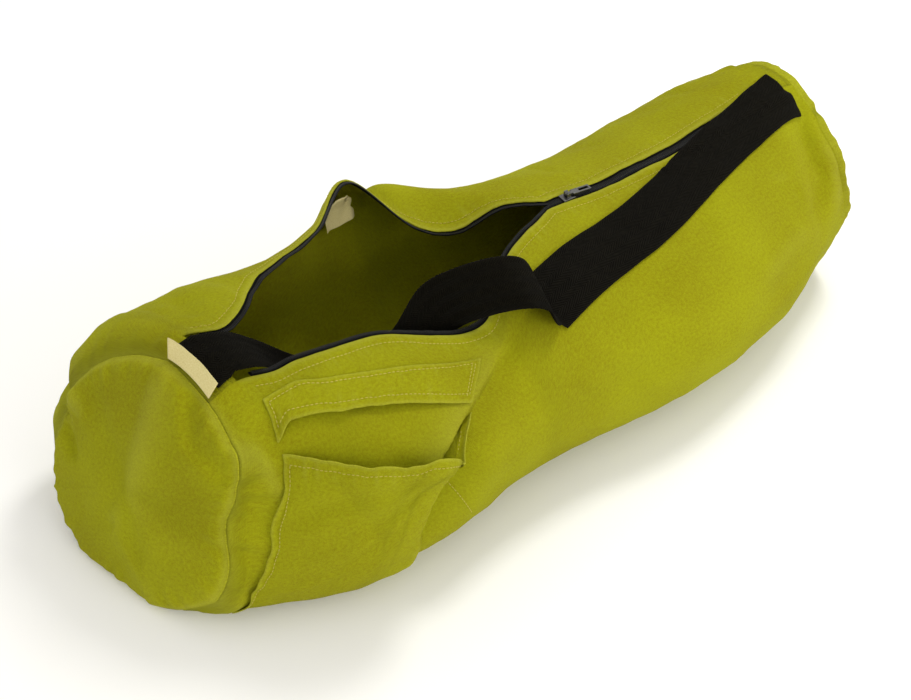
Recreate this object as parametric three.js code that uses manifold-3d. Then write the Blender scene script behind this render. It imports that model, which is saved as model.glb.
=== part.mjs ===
// A yoga mat bag of cotton canvas lying on its side: a wide tube with two round end panels, a long zip
// slot along its top, a patch pocket with a slit mouth on its front and a webbing strap sewn into both
// end seams. The bag is hollow and keeps the filled form it has in use. Its far half is zipped shut.
// +X runs from the near end to the far end, -Y is the pocket side, +Z is up and the bag rests on z = 0.
// Lengths are millimetres and angles are degrees.
import * as THREE from "three";
import Module from "manifold-3d";

// Driving dimensions
const LENGTH = 755; // between the middles of the two end seams
const WIDTH = 290; // front to back at the fullest section
const HEIGHT = 206; // at the near end seam
const CLOTH = 1.6; // canvas wall
const GAP = 0.3; // between pieces that are sewn or laid on each other
const LIE = 1.1; // extra room under a piece that lies over the body's facets
const BAND_LIE = 1.2; // room under the pocket's top band
const POCKET_LIE = 2.1; // room under the pocket's front, whose side lies in a crease
const TAPE_GAP = 0.65; // between the hem and the zip tape under it
const END_BULGE = 13; // how far an end panel stands out at its middle
const ZIP_HALF = 6.5; // from the chain's middle to the cloth's edge where the zip is closed
const TAPE = 0.9; // woven zip tape
const BEAD_WIDTH = 3.2; // one row of the zip's coil
const BEAD_HEIGHT = 2.2;
const TAPE_UNDER = 8; // tape hidden under the hem
const STRAP_WIDTH = 50;
const STRAP_THICKNESS = 2.6;
const LABEL = 0.8; // thickness of a folded label
const TAB_LENGTH = 50; // seam label, along the seam
const TAB_REACH = 14; // seam label, out of the seam
const CARE_WIDTH = 34;
const CARE_LENGTH = 36;
const CARE_AT = 0.37; // its middle, share of LENGTH
const CARE_HANG = 0.14; // how much it falls away from the wall in each millimetre
const SLOT_START = 0.03; // the zip slot's ends, shares of LENGTH
const SLOT_END = 0.955;
const TAPE_START = 0.083; // the bare zip tape starts past the strap, share of LENGTH
const SLIDER_AT = 0.603;
const SLIDER_WIDTH = 10.5;
const SLIDER_LENGTH = 13;
const SLIDER_PLATE = 1.6;
const PIN_RADIUS = 0.8;
const PIN_HEIGHT = 2.9; // hinge axis of the pull above the slider's plate
const PULL_LENGTH = 26;
const PULL_WIDTH = 7;
const PULL_THICKNESS = 1.4;
const EYE_WIDTH = 3.4; // the pull's eye between the slider's cheeks
const HINGE_GAP = 0.35;
const CHEEK = 1.2; // wall of the cheeks and of the eye
const PULL_DROP = 6; // how far the pull hangs down at rest
const ROUND = 20; // facets of a round bar

// Sections of the body. at: share of LENGTH. front, back: widest points, shares of WIDTH. top: share of
// HEIGHT. lean, yaw: turn of the section's plane. crown, foot: squareness above and below the waist.
// skew: how far the top lies to the back, share of WIDTH. zip: turn of the zip line towards the front.
const SECTIONS = [
  { at: 0.0, front: -0.262, back: 0.475, top: 0.98, lean: 28, yaw: 17, crown: 1.95, foot: 2.3, skew: 0.05, zip: 12 },
  { at: 0.03, front: -0.322, back: 0.575, top: 0.99, lean: 26, yaw: 16, crown: 2.1, foot: 2.5, skew: 0.035, zip: 11 },
  { at: 0.08, front: -0.4, back: 0.61, top: 0.985, lean: 22, yaw: 13, crown: 2.2, foot: 2.7, skew: 0.015, zip: 10 },
  { at: 0.15, front: -0.462, back: 0.59, top: 0.97, lean: 15, yaw: 8, crown: 2.2, foot: 2.9, skew: 0, zip: 8 },
  { at: 0.27, front: -0.488, back: 0.57, top: 0.93, lean: 6, yaw: 3, crown: 2.3, foot: 3.0, skew: 0, zip: 3 },
  { at: 0.4, front: -0.455, back: 0.56, top: 0.89, lean: 1, yaw: 0, crown: 2.3, foot: 3.0, skew: 0.02, zip: -4 },
  { at: 0.52, front: -0.48, back: 0.53, top: 0.89, lean: 0, yaw: 0, crown: 2.2, foot: 3.0, skew: 0.05, zip: -8 },
  { at: 0.65, front: -0.518, back: 0.49, top: 0.9, lean: 0, yaw: 0, crown: 2.1, foot: 2.9, skew: 0.06, zip: -5 },
  { at: 0.78, front: -0.49, back: 0.47, top: 0.93, lean: -2, yaw: 0, crown: 2.1, foot: 2.9, skew: 0.08, zip: 3 },
  { at: 0.9, front: -0.418, back: 0.43, top: 0.985, lean: -6, yaw: 0, crown: 2.1, foot: 2.7, skew: 0.1, zip: 8 },
  { at: 0.96, front: -0.36, back: 0.39, top: 1.02, lean: -5, yaw: 0, crown: 2.0, foot: 2.5, skew: 0.11, zip: 9 },
  { at: 1.0, front: -0.31, back: 0.33, top: 1.04, lean: -5, yaw: 0, crown: 2.0, foot: 2.3, skew: 0.11, zip: 8 },
];
const WAIST = 0.47; // height of the widest point, share of the section's top
const SOLE = 0.03; // share of the lower half that is pressed flat on the floor

// The zip slot's two edges. front, back: turn from the zip line to each edge. The other columns move the
// edges outwards and upwards, shares of HEIGHT: the back edge stands up as a folded-out flap. backReach:
// how far round the body the moved back edge pulls the cloth.
const MOUTH = [
  { at: 0.03, front: 16, back: 17, frontOut: 0, frontUp: 0, backOut: 0, backUp: 0, backReach: 48 },
  { at: 0.04, front: 16, back: 17, frontOut: 0, frontUp: 0, backOut: 0, backUp: 0, backReach: 48 },
  { at: 0.076, front: 16, back: 17, frontOut: 0, frontUp: 0, backOut: 0, backUp: 0, backReach: 48 },
  { at: 0.125, front: 12, back: 28, frontOut: 0, frontUp: 0, backOut: 0, backUp: 0, backReach: 48 },
  { at: 0.18, front: 12, back: 43, frontOut: 0, frontUp: 0, backOut: 0, backUp: 0, backReach: 48 },
  { at: 0.25, front: 15, back: 55, frontOut: 0, frontUp: -0.02, backOut: 0, backUp: 0.05, backReach: 48 },
  { at: 0.32, front: 27, back: 58, frontOut: 0.02, frontUp: -0.05, backOut: 0.03, backUp: 0.1, backReach: 46 },
  { at: 0.365, front: 35, back: 60, frontOut: 0.02, frontUp: -0.07, backOut: 0.07, backUp: 0.12, backReach: 44 },
  { at: 0.4, front: 38, back: 56, frontOut: 0.02, frontUp: -0.05, backOut: 0.06, backUp: 0.08, backReach: 30 },
  { at: 0.435, front: 32, back: 43, frontOut: 0, frontUp: 0, backOut: -0.02, backUp: -0.08, backReach: 14 },
  { at: 0.48, front: 21, back: 33, frontOut: 0, frontUp: 0, backOut: -0.04, backUp: -0.12, backReach: 14 },
  { at: 0.54, front: 11, back: 19, frontOut: 0, frontUp: 0, backOut: 0, backUp: -0.04, backReach: 14 },
  { at: 0.595, front: 0, back: 0, frontOut: 0, frontUp: 0, backOut: 0, backUp: 0, backReach: 25 },
  { at: 1.0, front: 0, back: 0, frontOut: 0, frontUp: 0, backOut: 0, backUp: 0, backReach: 25 },
];
const FRONT_REACH = 35; // the same of the front edge

// Folds and dents of the body. at, turn: the middle. slant: how far at moves in one degree of turn.
// long: half length along the body, share of LENGTH. round: half length round it. out: share of HEIGHT.
const FOLDS = [
  { at: 0.245, turn: 80, slant: -0.0026, long: 0.03, round: 26, out: -0.035 },
  { at: 0.31, turn: 80, slant: -0.0024, long: 0.04, round: 28, out: 0.03 },
  { at: 0.43, turn: -68, slant: 0, long: 0.065, round: 18, out: 0.19 },
  { at: 0.48, turn: -75, slant: 0, long: 0.045, round: 25, out: 0.05 },
  { at: 0.165, turn: -52, slant: 0, long: 0.06, round: 28, out: 0.055 },
  { at: 0.975, turn: 40, slant: 0, long: 0.03, round: 10, out: -0.035 },
  { at: 0.94, turn: 55, slant: -0.001, long: 0.02, round: 20, out: -0.045 },
  { at: 0.05, turn: 128, slant: 0, long: 0.16, round: 34, out: 0.055 },
  { at: 0.2, turn: 128, slant: 0, long: 0.08, round: 34, out: 0.025 },
  { at: 0.92, turn: 112, slant: 0, long: 0.07, round: 34, out: -0.03 },
];

// The pocket's lines on the body, from its left end to its right end. lift: share of HEIGHT.
const POCKET_TOP = [
  { across: 0, at: 0.04, turn: 38, lift: 0 },
  { across: 0.25, at: 0.108, turn: 32, lift: 0 },
  { across: 0.6, at: 0.224, turn: 36, lift: 0 },
  { across: 1, at: 0.355, turn: 46, lift: 0 },
];
const UPPER_LIP = [
  { across: 0, at: 0.033, turn: 54, lift: 0 },
  { across: 0.1, at: 0.058, turn: 47.5, lift: 0.01 },
  { across: 0.5, at: 0.18, turn: 48.5, lift: 0.02 },
  { across: 1, at: 0.306, turn: 59, lift: 0 },
];
const LOWER_LIP = [
  { across: 0, at: 0.034, turn: 58.5, lift: 0 },
  { across: 0.2, at: 0.085, turn: 62.5, lift: 0.05 },
  { across: 0.5, at: 0.165, turn: 66.5, lift: 0.1 },
  { across: 0.8, at: 0.25, turn: 69, lift: 0.07 },
  { across: 1, at: 0.304, turn: 63, lift: 0 },
];
const POCKET_MIDDLE = [
  { across: 0, at: 0.024, turn: 82, lift: 0 },
  { across: 1, at: 0.222, turn: 84, lift: 0 },
];
const POCKET_FOOT = [
  { across: 0, at: 0.025, turn: 126, lift: 0 },
  { across: 1, at: 0.195, turn: 126, lift: 0 },
];
// The pocket's two pieces: down is each line's share of the piece's depth.
const POCKET_BAND = [
  { down: 0, line: POCKET_TOP },
  { down: 1, line: UPPER_LIP },
];
const POCKET_FRONT = [
  { down: 0, line: LOWER_LIP },
  { down: 0.45, line: POCKET_MIDDLE },
  { down: 1, line: POCKET_FOOT },
];

const STRAP_NEAR = [
  { at: 0.008, turn: 12 },
  { at: 0.03, turn: 11 },
];
const STRAP_FAR = [
  { at: 0.466, turn: 44.5 },
  { at: 0.59, turn: 33.5 },
  { at: 0.7, turn: 26 },
  { at: 0.81, turn: 19.5 },
  { at: 0.979, turn: 15.5 },
];
// The strap's free run through the slot and over the front hem. x, y, z: its middle, shares of LENGTH,
// WIDTH and HEIGHT. swing, tip: turn of its width in plan and upwards, towards the back of the bag.
const STRAP_ARCH = [
  { x: -0.376, y: 0.066, z: 0.992, swing: -12, tip: 6 },
  { x: -0.36, y: 0.06, z: 0.96, swing: -12, tip: 8 },
  { x: -0.338, y: 0.045, z: 0.86, swing: -10, tip: 25 },
  { x: -0.3, y: 0.01, z: 0.7, swing: -10, tip: 55 },
  { x: -0.245, y: -0.035, z: 0.62, swing: -20, tip: 65 },
  { x: -0.188, y: -0.06, z: 0.7, swing: -35, tip: 55 },
  { x: -0.138, y: -0.046, z: 0.84, swing: -25, tip: 48 },
  { x: -0.103, y: -0.116, z: 0.945, swing: -12, tip: 40 },
  { x: -0.068, y: -0.188, z: 0.995, swing: 0, tip: 36 },
  { x: -0.048, y: -0.213, z: 0.965, swing: 3, tip: 35 },
  { x: -0.043, y: -0.238, z: 0.9, swing: 8, tip: 25 },
];

// Facets
const HALF_WAY = 0.62;
const NEAR_ROWS = 34;
const FAR_ROWS = 9;
const BODY_COLUMNS = 30;
const END_RINGS = 4;
const RAD = Math.PI / 180;
const solids = await Module();
solids.setup();

// The value of a table's column at a place, on a smooth curve through its rows
function column(rows, name, place, key = "at") {
  let i = 0;
  while (i < rows.length - 2 && place > rows[i + 1][key]) i++;
  const slope = (k) => {
    const before = rows[Math.max(k - 1, 0)];
    const after = rows[Math.min(k + 1, rows.length - 1)];
    return (after[name] - before[name]) / (after[key] - before[key]);
  };
  const [from, to] = [rows[i], rows[i + 1]];
  const span = to[key] - from[key];
  const t = Math.min(Math.max((place - from[key]) / span, 0), 1);
  const rise = to[name] - from[name];
  const start = slope(i) * span;
  const end = slope(i + 1) * span;
  return from[name] + t * (start + t * (3 * rise - 2 * start - end + t * (start + end - 2 * rise)));
}

// Turn of the zip line, and of the slot's two edges where the slot is open or closed by the zip
const zipTurn = (at) => column(SECTIONS, "zip", at);
function edgeTurn(at, side) {
  const free = column(MOUTH, side < 0 ? "back" : "front", at);
  const radius = girth(at, zipTurn(at)).radius;
  return zipTurn(at) + side * Math.max(free, ZIP_HALF / radius / RAD);
}

// The section's outline at a place: its middle, its waist and the radius at one turn
function girth(at, turn) {
  const front = column(SECTIONS, "front", at) * WIDTH;
  const back = column(SECTIONS, "back", at) * WIDTH;
  const top = column(SECTIONS, "top", at) * HEIGHT;
  const waist = WAIST * top;
  const [s, c] = [Math.sin(turn * RAD), Math.cos(turn * RAD)];
  const rise = c > 0 ? top - waist : waist * (1 + SOLE);
  const power = column(SECTIONS, c > 0 ? "crown" : "foot", at);
  const half = (back - front) / 2;
  const radius = (Math.abs(s / half) ** power + Math.abs(c / rise) ** power) ** (-1 / power);
  return { middle: (front + back) / 2, waist, radius, crest: top - waist };
}

const bump = (x) => Math.exp(-x * x);
const fullTurn = (turn) => ((turn % 360) + 360) % 360;
const wrapTurn = (turn) => fullTurn(turn + 180) - 180;

// A point on the outside of the body's cloth. turn goes from the top towards the front.
function bodyPoint(at, turn) {
  const { middle, waist, radius, crest } = girth(at, turn);
  let r = radius;
  for (const f of FOLDS) {
    const round = wrapTurn(turn - f.turn);
    const long = at - f.at - f.slant * round;
    r += f.out * HEIGHT * bump(long / f.long) * bump(round / f.round);
  }
  let y = middle - r * Math.sin(turn * RAD);
  let z = waist + r * Math.cos(turn * RAD);
  for (const side of [1, -1]) {
    const name = side > 0 ? "front" : "back";
    const past = fullTurn(side * (turn - edgeTurn(at, side)));
    const reach = side > 0 ? FRONT_REACH : column(MOUTH, "backReach", at);
    const pull = bump(Math.min(past, 360 - past) / reach);
    y -= side * pull * column(MOUTH, name + "Out", at) * HEIGHT;
    z += pull * column(MOUTH, name + "Up", at) * HEIGHT;
  }
  y += (column(SECTIONS, "skew", at) * WIDTH * Math.max(z - waist, 0)) / crest;
  z = Math.max(z, 0);
  const lean = Math.tan(column(SECTIONS, "lean", at) * RAD) * (z - waist);
  const yaw = Math.tan(column(SECTIONS, "yaw", at) * RAD) * (y - middle);
  return new THREE.Vector3((at - 0.5) * LENGTH + lean - yaw, y, z);
}

// The body's outward normal, and the directions along and round it
function bodyFrame(at, turn) {
  const [stepAt, stepTurn] = [0.002, 0.8];
  const from = Math.max(at - stepAt, 0);
  const to = Math.min(at + stepAt, 1);
  const along = bodyPoint(to, turn).sub(bodyPoint(from, turn)).normalize();
  const round = bodyPoint(at, turn + stepTurn).sub(bodyPoint(at, turn - stepTurn)).normalize();
  const out = round.clone().cross(along).normalize();
  return { along, round, out };
}

// A point above the outside of the body, or inside it where lift is negative
function above(at, turn, lift) {
  return bodyPoint(at, turn).addScaledVector(bodyFrame(at, turn).out, lift);
}

// The normal of a section's plane, and a point of a seam moved out of the body within that plane
function planeNormal(at) {
  const [lean, yaw] = ["lean", "yaw"].map((name) => Math.tan(column(SECTIONS, name, at) * RAD));
  return new THREE.Vector3(1, yaw, -lean).normalize();
}
function inPlane(at, turn, lift) {
  const normal = planeNormal(at);
  const out = bodyFrame(at, turn).out.projectOnPlane(normal).normalize();
  return bodyPoint(at, turn).addScaledVector(out, lift);
}

// The turn that lies a length further round from another
function turnBy(at, turn, length) {
  return turn + length / girth(at, turn).radius / RAD;
}

// A closed solid between an outer and an inner grid of points. Where two edges of a grid fall together,
// as on a tube, no rim is made there.
function sheetSolid(outer, inner) {
  const corners = [];
  const last = outer[0].length - 1;
  const quad = (a, b, c, d) => corners.push(a, b, c, a, c, d);
  const same = (a, b) => a.distanceTo(b) < 1e-6;
  for (let i = 0; i < outer.length - 1; i++) {
    for (let j = 0; j < last; j++) {
      quad(outer[i][j], outer[i + 1][j], outer[i + 1][j + 1], outer[i][j + 1]);
      quad(inner[i][j], inner[i][j + 1], inner[i + 1][j + 1], inner[i + 1][j]);
    }
    if (same(outer[i][0], outer[i][last]) && same(outer[i + 1][0], outer[i + 1][last])) continue;
    quad(outer[i][0], inner[i][0], inner[i + 1][0], outer[i + 1][0]);
    quad(outer[i][last], outer[i + 1][last], inner[i + 1][last], inner[i][last]);
  }
  const end = outer.length - 1;
  for (let j = 0; j < last; j++) {
    quad(outer[0][j], outer[0][j + 1], inner[0][j + 1], inner[0][j]);
    quad(outer[end][j], inner[end][j], inner[end][j + 1], outer[end][j + 1]);
  }
  return solidFrom(corners);
}

// A closed solid round a row of rings, each with the same number of points
function loftSolid(rings) {
  const corners = [];
  const n = rings[0].length;
  for (let i = 0; i < rings.length - 1; i++) {
    for (let j = 0; j < n; j++) {
      const k = (j + 1) % n;
      corners.push(rings[i][j], rings[i + 1][j], rings[i + 1][k]);
      corners.push(rings[i][j], rings[i + 1][k], rings[i][k]);
    }
  }
  const [first, last] = [rings[0], rings[rings.length - 1]];
  for (let j = 1; j < n - 1; j++) {
    corners.push(first[0], first[j], first[j + 1]);
    corners.push(last[0], last[j + 1], last[j]);
  }
  return solidFrom(corners);
}

// A geometry from triangle corners, turned so that its faces point out
function solidFrom(corners) {
  let volume = 0;
  const normal = new THREE.Vector3();
  for (let i = 0; i < corners.length; i += 3) {
    volume += normal.crossVectors(corners[i], corners[i + 1]).dot(corners[i + 2]);
  }
  const order = volume > 0 ? [0, 1, 2] : [0, 2, 1];
  const points = [];
  for (let i = 0; i < corners.length; i += 3) {
    for (const k of order) points.push(corners[i + k]);
  }
  const geometry = new THREE.BufferGeometry().setFromPoints(points);
  geometry.computeVertexNormals();
  return geometry;
}

const spread = (from, to, steps) => Array.from({ length: steps + 1 }, (_, i) => from + ((to - from) * i) / steps);

// Stations along the body: closer together in its near half, with rows at the slot's ends and just inside
const SLOT_STEP = 0.006;
const stations = [
  ...spread(0, SLOT_START, 2),
  ...spread(SLOT_START + SLOT_STEP, HALF_WAY, NEAR_ROWS),
  ...spread(HALF_WAY, SLOT_END - SLOT_STEP, FAR_ROWS).slice(1),
  ...spread(SLOT_END, 1, 2),
];

// The turns of one row of the body, from the slot's front edge round below to its back edge
function rowTurns(at) {
  const open = at > SLOT_START && at < SLOT_END;
  const start = open ? edgeTurn(at, 1) : zipTurn(at);
  const end = 360 + (open ? edgeTurn(at, -1) : zipTurn(at));
  const hemStart = turnBy(at, start, TAPE_UNDER);
  const hemEnd = turnBy(at, end, -TAPE_UNDER);
  return [start, ...spread(hemStart, hemEnd, BODY_COLUMNS - 2), end];
}

function bodyPanel() {
  const outer = stations.map((at) => rowTurns(at).map((turn) => bodyPoint(at, turn)));
  const inner = stations.map((at) =>
    rowTurns(at).map((turn) => {
      const point = at > 0 && at < 1 ? above(at, turn, -CLOTH) : inPlane(at, turn, -CLOTH);
      point.z = Math.max(point.z, CLOTH);
      return point;
    }),
  );
  for (const grid of [outer, inner]) {
    grid.forEach((row, i) => {
      const open = stations[i] > SLOT_START && stations[i] < SLOT_END;
      if (!open) row[row.length - 1] = row[0].clone();
    });
  }
  return sheetSolid(outer, inner);
}

// A round end panel: rings that shrink towards the middle and stand out from the seam's plane
function endPanel(at, side) {
  const turns = spread(0, 360, BODY_COLUMNS);
  const rim = turns.map((turn) => bodyPoint(at, turn));
  rim[BODY_COLUMNS] = rim[0].clone();
  const centre = new THREE.Vector3();
  for (const point of rim.slice(1)) centre.addScaledVector(point, 1 / BODY_COLUMNS);
  const out = planeNormal(at).multiplyScalar(side);
  const corners = [];
  const layer = (share, depth) =>
    rim.map((point) => {
      const stand = GAP + depth + END_BULGE * (1 - share ** 2.4);
      return point.clone().sub(centre).multiplyScalar(share).add(centre).addScaledVector(out, stand);
    });
  const shares = spread(1, 0, END_RINGS + 1).slice(0, -1);
  const faces = [CLOTH, 0].map((depth) => shares.map((share) => layer(share, depth)));
  const middles = [CLOTH, 0].map((depth) => centre.clone().addScaledVector(out, GAP + depth + END_BULGE));
  faces.forEach((rings, face) => {
    const add = (a, b, c) => (face ? corners.push(a, c, b) : corners.push(a, b, c));
    for (let j = 0; j < BODY_COLUMNS; j++) {
      for (let i = 0; i < rings.length - 1; i++) {
        add(rings[i][j], rings[i + 1][j], rings[i + 1][j + 1]);
        add(rings[i][j], rings[i + 1][j + 1], rings[i][j + 1]);
      }
      const innermost = rings[rings.length - 1];
      add(innermost[j], middles[face], innermost[j + 1]);
    }
  });
  for (let j = 0; j < BODY_COLUMNS; j++) {
    const [a, b] = [faces[0][0][j], faces[0][0][j + 1]];
    const [c, d] = [faces[1][0][j], faces[1][0][j + 1]];
    corners.push(a, b, d, a, d, c);
  }
  return solidFrom(corners);
}

// A cloth patch on the body, lofted through the lines of one of the pocket's pieces
function pocketPatch(lines, lie, rows, columns) {
  const place = (u, v) => {
    const read = (name) => {
      const values = lines.map(({ down, line }) => ({ down, value: column(line, name, u, "across") }));
      return column(values, "value", v, "down");
    };
    return { at: read("at"), turn: read("turn"), lift: Math.max(read("lift"), 0) * HEIGHT + lie };
  };
  const grid = (extra) =>
    spread(0, 1, rows).map((v) =>
      spread(0, 1, columns).map((u) => {
        const p = place(u, v);
        return above(p.at, p.turn, p.lift + extra);
      }),
    );
  return sheetSolid(grid(CLOTH), grid(0));
}

// One side of the zip: tape under the hem, bare tape past the cloth's edge, and the coil's bead
function zipTape(side) {
  const top = -CLOTH - TAPE_GAP;
  const reach = ZIP_HALF - GAP / 2;
  // x: past the cloth's edge. y: above the outside of the cloth.
  const profile = [
    { x: -TAPE_UNDER, y: top },
    { x: 0, y: top },
    { x: reach - BEAD_WIDTH, y: top },
    { x: reach - BEAD_WIDTH, y: top + BEAD_HEIGHT - TAPE },
    { x: reach, y: top + BEAD_HEIGHT - TAPE },
    { x: reach, y: top - TAPE },
    { x: 0, y: top - TAPE },
    { x: -TAPE_UNDER, y: top - TAPE },
  ];
  const rows = stations.filter((at) => at > TAPE_START && at < SLOT_END - 2 * SLOT_STEP);
  return loftSolid(
    rows.map((at) => {
      const edge = edgeTurn(at, side);
      return profile.map((p) => above(at, turnBy(at, edge, -side * p.x), p.y));
    }),
  );
}

// The strap's stations: five points across it and the direction away from its underside
const STRAP_ACROSS = spread(-0.5, 0.5, 4);

function lyingStations(rows, steps) {
  const [from, to] = [rows[0].at, rows[rows.length - 1].at];
  return spread(from, to, steps).map((at) => {
    const turn = column(rows, "turn", at);
    const step = 0.004;
    const climb = column(rows, "turn", Math.min(at + step, to)) - column(rows, "turn", Math.max(at - step, from));
    const run = (Math.min(at + step, to) - Math.max(at - step, from)) * LENGTH;
    const radius = girth(at, turn).radius;
    const heading = Math.atan2(climb * RAD * radius, run);
    const points = STRAP_ACROSS.map((share) => {
      const w = share * STRAP_WIDTH;
      const place = Math.min(Math.max(at + (w * Math.sin(heading)) / LENGTH, from), to);
      const round = turnBy(place, turn, -w * Math.cos(heading));
      return above(place, round, GAP + LIE);
    });
    return { points, up: bodyFrame(at, turn).out };
  });
}

function archStations(before, after) {
  const middle = (station) => station.points[2];
  const width = (station) => station.points[4].clone().sub(station.points[0]).normalize();
  const centres = [middle(before)];
  const sides = [width(before)];
  for (const row of STRAP_ARCH) {
    const [swing, tip] = [row.swing * RAD, row.tip * RAD];
    centres.push(new THREE.Vector3(row.x * LENGTH, row.y * WIDTH, row.z * HEIGHT));
    sides.push(new THREE.Vector3(Math.sin(swing) * Math.cos(tip), Math.cos(swing) * Math.cos(tip), Math.sin(tip)));
  }
  centres.push(middle(after));
  sides.push(width(after));
  const path = new THREE.CatmullRomCurve3(centres, false, "centripetal");
  const turns = new THREE.CatmullRomCurve3(sides, false, "centripetal");
  const steps = 3 * (centres.length - 1);
  return spread(0, 1, steps).slice(1, -1).map((t) => {
    const centre = path.getPoint(t);
    const side = turns.getPoint(t).normalize();
    const up = path.getTangent(t).cross(side).normalize();
    const points = STRAP_ACROSS.map((share) => centre.clone().addScaledVector(side, share * STRAP_WIDTH));
    return { points, up };
  });
}

function strap() {
  const near = lyingStations(STRAP_NEAR, 2);
  const far = lyingStations(STRAP_FAR, 22);
  const all = [...near, ...archStations(near[near.length - 1], far[0]), ...far];
  const under = all.map((station) => station.points);
  const over = all.map(({ points, up }) => points.map((p) => p.clone().addScaledVector(up, STRAP_THICKNESS)));
  return sheetSolid(over, under);
}

// The folded label that stands out of the near seam beside the strap's sewn end
function seamLabel() {
  const start = turnBy(0, STRAP_NEAR[0].turn, -TAB_LENGTH / 2);
  const end = turnBy(0, STRAP_NEAR[0].turn, TAB_LENGTH / 2);
  const out = planeNormal(0).negate();
  const side = (depth) =>
    spread(start, end, 6).map((turn) =>
      spread(GAP, TAB_REACH, 2).map((reach) => inPlane(0, turn, reach).addScaledVector(out, depth)),
    );
  return sheetSolid(side(GAP + LABEL), side(GAP));
}

// The care label, sewn under the zip tape inside the flap
function careLabel() {
  const half = CARE_WIDTH / LENGTH / 2;
  const side = (extra) =>
    spread(CARE_AT - half, CARE_AT + half, 4).map((at) =>
      spread(TAPE_UNDER / 2, TAPE_UNDER / 2 + CARE_LENGTH, 5).map((down) => {
        const depth = CLOTH + TAPE + LIE + 2 * GAP + down * CARE_HANG;
        return above(at, turnBy(at, edgeTurn(at, -1), -down), -depth - extra);
      }),
    );
  return sheetSolid(side(0), side(LABEL));
}

// The zip slider's own frame: x along the chain to the far end, y to the back, z out of the cloth
function sliderFrame() {
  const turn = zipTurn(SLIDER_AT);
  const { along, out } = bodyFrame(SLIDER_AT, turn);
  const back = out.clone().cross(along).normalize();
  const seat = above(SLIDER_AT, turn, BEAD_HEIGHT - CLOTH - TAPE);
  return new THREE.Matrix4().makeBasis(back.clone().cross(out).normalize(), back, out).setPosition(seat);
}

// A box between two corners, and a round bar across the slider
const { Manifold } = solids;
const box = (low, high) => Manifold.cube(high.map((v, i) => v - low[i])).translate(low);
const bar = (radius, width, height) =>
  Manifold.cylinder(width, radius, radius, ROUND, true).rotate([90, 0, 0]).translate([0, 0, height]);

// A manifold solid as a mesh geometry laid in a frame
function placed(solid, frame) {
  const mesh = solid.getMesh();
  const geometry = new THREE.BufferGeometry();
  geometry.setAttribute("position", new THREE.BufferAttribute(new Float32Array(mesh.vertProperties), 3));
  geometry.setIndex(new THREE.BufferAttribute(mesh.triVerts, 1));
  const flat = geometry.toNonIndexed().applyMatrix4(frame);
  flat.computeVertexNormals();
  return flat;
}

// The slider: a plate over the chain, two cheeks and the pin that the pull swings on
const PIN_AT = SLIDER_PLATE + PIN_HEIGHT;
function zipSlider() {
  const inside = EYE_WIDTH / 2 + HINGE_GAP;
  const [halfLength, halfWidth] = [SLIDER_LENGTH / 2, SLIDER_WIDTH / 2];
  const base = box([-halfLength, -halfWidth, 0], [halfLength, halfWidth, SLIDER_PLATE]);
  const reach = PIN_RADIUS + CHEEK;
  const cheeks = [-inside - CHEEK, inside].map((y) =>
    box([-reach, y, SLIDER_PLATE / 2], [reach, y + CHEEK, PIN_AT + reach]),
  );
  return placed(Manifold.union([base, ...cheeks, bar(PIN_RADIUS, 2 * inside + CHEEK, PIN_AT)]), sliderFrame());
}

// The pull: an eye round the pin and a flat tab with a hole, lying towards the far end
function zipPull() {
  const hole = PIN_RADIUS + HINGE_GAP;
  const eye = bar(hole + CHEEK, EYE_WIDTH, 0);
  const half = PULL_THICKNESS / 2;
  const shoulder = PULL_WIDTH - EYE_WIDTH / 2;
  const neck = box([0, -EYE_WIDTH / 2, -half], [PULL_WIDTH, EYE_WIDTH / 2, half]);
  const tab = box([shoulder, -PULL_WIDTH / 2, -half], [PULL_LENGTH, PULL_WIDTH / 2, half]);
  const rim = (PULL_WIDTH - EYE_WIDTH) / 2;
  const window = box([PULL_LENGTH / 2, -EYE_WIDTH / 2, -PULL_WIDTH], [PULL_LENGTH - rim, EYE_WIDTH / 2, PULL_WIDTH]);
  const solid = Manifold.union([eye, neck, tab]).subtract(bar(hole, PULL_WIDTH, 0)).subtract(window);
  return placed(solid.rotate([0, PULL_DROP, 0]).translate([0, 0, PIN_AT]), sliderFrame());
}


// Materials
const canvas = { color: 0x9aa61c, roughness: 0.9, metalness: 0 };
const webbing = { color: 0x14110f, roughness: 0.85, metalness: 0 };
const nylon = { color: 0x0e0d0d, roughness: 0.6, metalness: 0 };
const cream = { color: 0xe6dcc0, roughness: 0.85, metalness: 0 };
const metal = { color: 0x2a2a2c, roughness: 0.35, metalness: 0.9 };

const bag = new THREE.Group();
function add(name, geometry, look, parent = bag) {
  const mesh = new THREE.Mesh(geometry, new THREE.MeshStandardMaterial(look));
  mesh.name = name;
  parent.add(mesh);
  return mesh;
}

add("body_panel", bodyPanel(), canvas);
add("near_end_panel", endPanel(0, -1), canvas);
add("far_end_panel", endPanel(1, 1), canvas);
add("pocket_band", pocketPatch(POCKET_BAND, BAND_LIE, 3, 16), canvas);
add("pocket_front", pocketPatch(POCKET_FRONT, POCKET_LIE, 10, 16), canvas);
add("zip_tape_front", zipTape(1), nylon);
add("zip_tape_back", zipTape(-1), nylon);
add("strap", strap(), webbing);
add("seam_label", seamLabel(), cream);
add("care_label", careLabel(), cream);
add("zip_slider", zipSlider(), metal);
add("zip_pull", zipPull(), metal);

export default bag;
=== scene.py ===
"""A yoga mat bag of lime canvas: detailed cloth, zip, strap, labels and stitches in place of plain solids.

Lengths in the tables and functions are millimetres in the part's frame, and meshes are written in metres.
A place on the bag is at, the share of its length, and turn, the degrees round it from the top to the front.
"""

import math

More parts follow.
